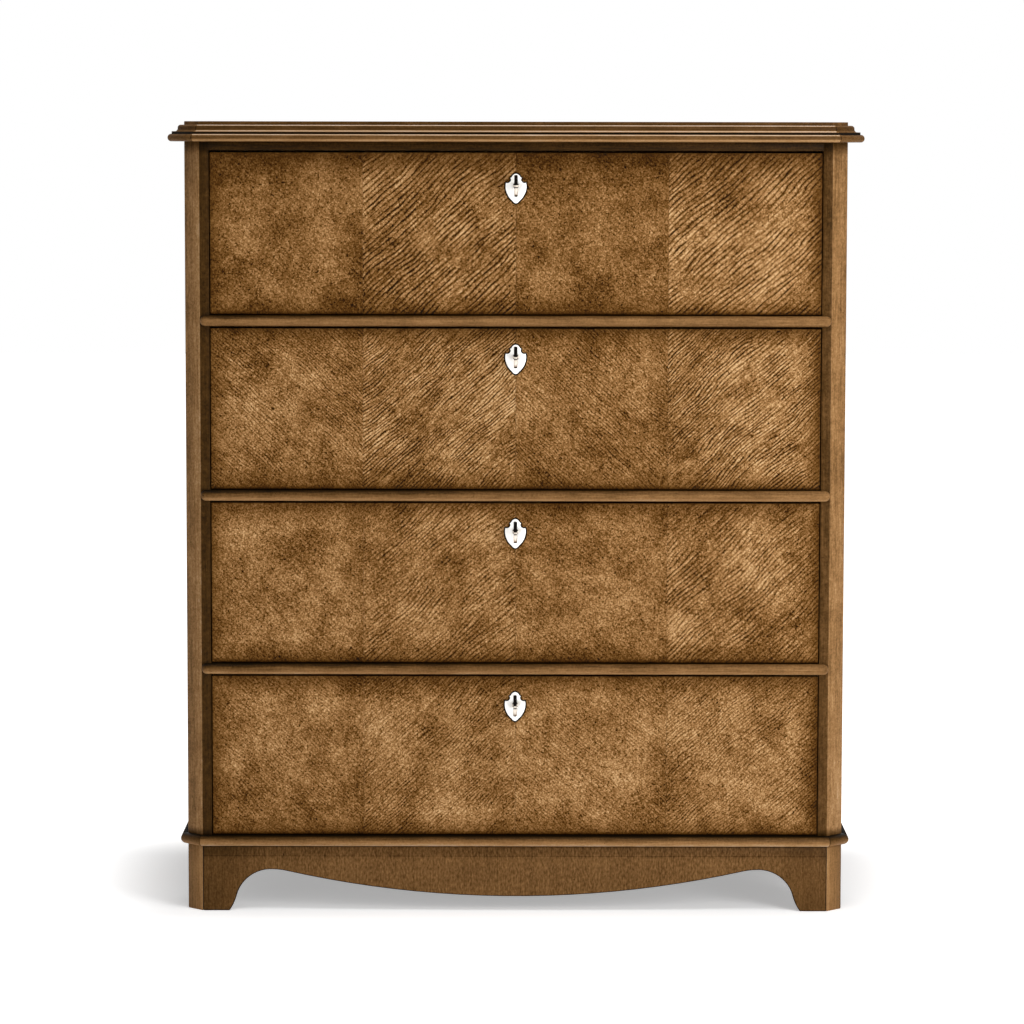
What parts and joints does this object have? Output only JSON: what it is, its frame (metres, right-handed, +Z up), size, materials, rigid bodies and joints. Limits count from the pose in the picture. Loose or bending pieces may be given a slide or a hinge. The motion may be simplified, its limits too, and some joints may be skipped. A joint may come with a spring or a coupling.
{
  "type": "chest of drawers",
  "caption": "Tall chest of drawers with canted front corners, half-round beads, a moulded top, a bracket-foot plinth, shield keyhole plates and a key in each lock.",
  "frame": {"origin": "on the floor under the middle of the chest's bounding box, keys included", "axes": "+Z up, front towards -Y, +X to the right as seen from the front"},
  "size_m": [1.0034, 0.503, 1.149],
  "materials": {
    "dark_walnut": "satin, stained",
    "figured_veneer": "satin, antiqued",
    "plain_wood": "bare, sanded",
    "pale_brass": "satin, nickelled",
    "lock_brass": "brushed",
    "lock_steel": "brushed"
  },
  "bodies": {
    "carcass": {"top_board": "dark_walnut", "top_moulding_front": "dark_walnut", "top_moulding_corners": "dark_walnut", "top_moulding_sides": "dark_walnut", "side_panel_left": "dark_walnut", "side_panel_right": "dark_walnut", "corner_post_left": "dark_walnut", "corner_post_right": "dark_walnut", "frieze_rail": "dark_walnut", "drawer_rail_1": "dark_walnut", "drawer_rail_2": "dark_walnut", "drawer_rail_3": "dark_walnut", "rail_beads": "dark_walnut", "bottom_board": "plain_wood", "back_panel": "plain_wood", "drawer_runners": "plain_wood", "drawer_stops": "plain_wood", "base_moulding_front": "dark_walnut", "base_moulding_corners": "dark_walnut", "base_moulding_sides": "dark_walnut", "plinth_front": "dark_walnut", "plinth_sides": "dark_walnut", "plinth_corners": "dark_walnut", "plinth_back": "plain_wood"},
    "drawer_1": {"drawer_1_front": "figured_veneer", "drawer_1_side_left": "plain_wood", "drawer_1_side_right": "plain_wood", "drawer_1_back": "plain_wood", "drawer_1_bottom": "plain_wood", "drawer_1_escutcheon": "pale_brass", "drawer_1_lock": "lock_brass"},
    "key_1": {"drawer_1_key": "pale_brass"},
    "bolt_1": {"drawer_1_bolt": "lock_steel"},
    "drawer_2": {"drawer_2_front": "figured_veneer", "drawer_2_side_left": "plain_wood", "drawer_2_side_right": "plain_wood", "drawer_2_back": "plain_wood", "drawer_2_bottom": "plain_wood", "drawer_2_escutcheon": "pale_brass", "drawer_2_lock": "lock_brass"},
    "key_2": {"drawer_2_key": "pale_brass"},
    "bolt_2": {"drawer_2_bolt": "lock_steel"},
    "drawer_3": {"drawer_3_front": "figured_veneer", "drawer_3_side_left": "plain_wood", "drawer_3_side_right": "plain_wood", "drawer_3_back": "plain_wood", "drawer_3_bottom": "plain_wood", "drawer_3_escutcheon": "pale_brass", "drawer_3_lock": "lock_brass"},
    "key_3": {"drawer_3_key": "pale_brass"},
    "bolt_3": {"drawer_3_bolt": "lock_steel"},
    "drawer_4": {"drawer_4_front": "figured_veneer", "drawer_4_side_left": "plain_wood", "drawer_4_side_right": "plain_wood", "drawer_4_back": "plain_wood", "drawer_4_bottom": "plain_wood", "drawer_4_escutcheon": "pale_brass", "drawer_4_lock": "lock_brass"},
    "key_4": {"drawer_4_key": "pale_brass"},
    "bolt_4": {"drawer_4_bolt": "lock_steel"}
  },
  "joints": [
    {"name": "drawer_1_slide", "type": "slide", "parent": "carcass", "child": "drawer_1", "axis": [0, -1, 0], "range_m": [0, 0.35]},
    {"name": "key_1_turn", "type": "hinge", "parent": "drawer_1", "child": "key_1", "pos_m": [0, -0.2185, 1.0575], "axis": [0, 1, 0], "range_deg": [0, 180]},
    {"name": "bolt_1_throw", "type": "slide", "parent": "drawer_1", "child": "bolt_1", "axis": [0, 0, 1], "range_m": [0, 0.009]},
    {"name": "drawer_2_slide", "type": "slide", "parent": "carcass", "child": "drawer_2", "axis": [0, -1, 0], "range_m": [0, 0.35]},
    {"name": "key_2_turn", "type": "hinge", "parent": "drawer_2", "child": "key_2", "pos_m": [0, -0.2185, 0.8116], "axis": [0, 1, 0], "range_deg": [0, 180]},
    {"name": "bolt_2_throw", "type": "slide", "parent": "drawer_2", "child": "bolt_2", "axis": [0, 0, 1], "range_m": [0, 0.009]},
    {"name": "drawer_3_slide", "type": "slide", "parent": "carcass", "child": "drawer_3", "axis": [0, -1, 0], "range_m": [0, 0.35]},
    {"name": "key_3_turn", "type": "hinge", "parent": "drawer_3", "child": "key_3", "pos_m": [0, -0.2185, 0.5587], "axis": [0, 1, 0], "range_deg": [0, 180]},
    {"name": "bolt_3_throw", "type": "slide", "parent": "drawer_3", "child": "bolt_3", "axis": [0, 0, 1], "range_m": [0, 0.009]},
    {"name": "drawer_4_slide", "type": "slide", "parent": "carcass", "child": "drawer_4", "axis": [0, -1, 0], "range_m": [0, 0.35]},
    {"name": "key_4_turn", "type": "hinge", "parent": "drawer_4", "child": "key_4", "pos_m": [0, -0.2185, 0.3058], "axis": [0, 1, 0], "range_deg": [0, 180]},
    {"name": "bolt_4_throw", "type": "slide", "parent": "drawer_4", "child": "bolt_4", "axis": [0, 0, 1], "range_m": [0, 0.009]}
  ],
  "couplings": [
    {"joint": "key_1_turn", "follows": "bolt_1_throw", "rad_per_m": 349.06},
    {"joint": "key_2_turn", "follows": "bolt_2_throw", "rad_per_m": 349.06},
    {"joint": "key_3_turn", "follows": "bolt_3_throw", "rad_per_m": 349.06},
    {"joint": "key_4_turn", "follows": "bolt_4_throw", "rad_per_m": 349.06}
  ]
}
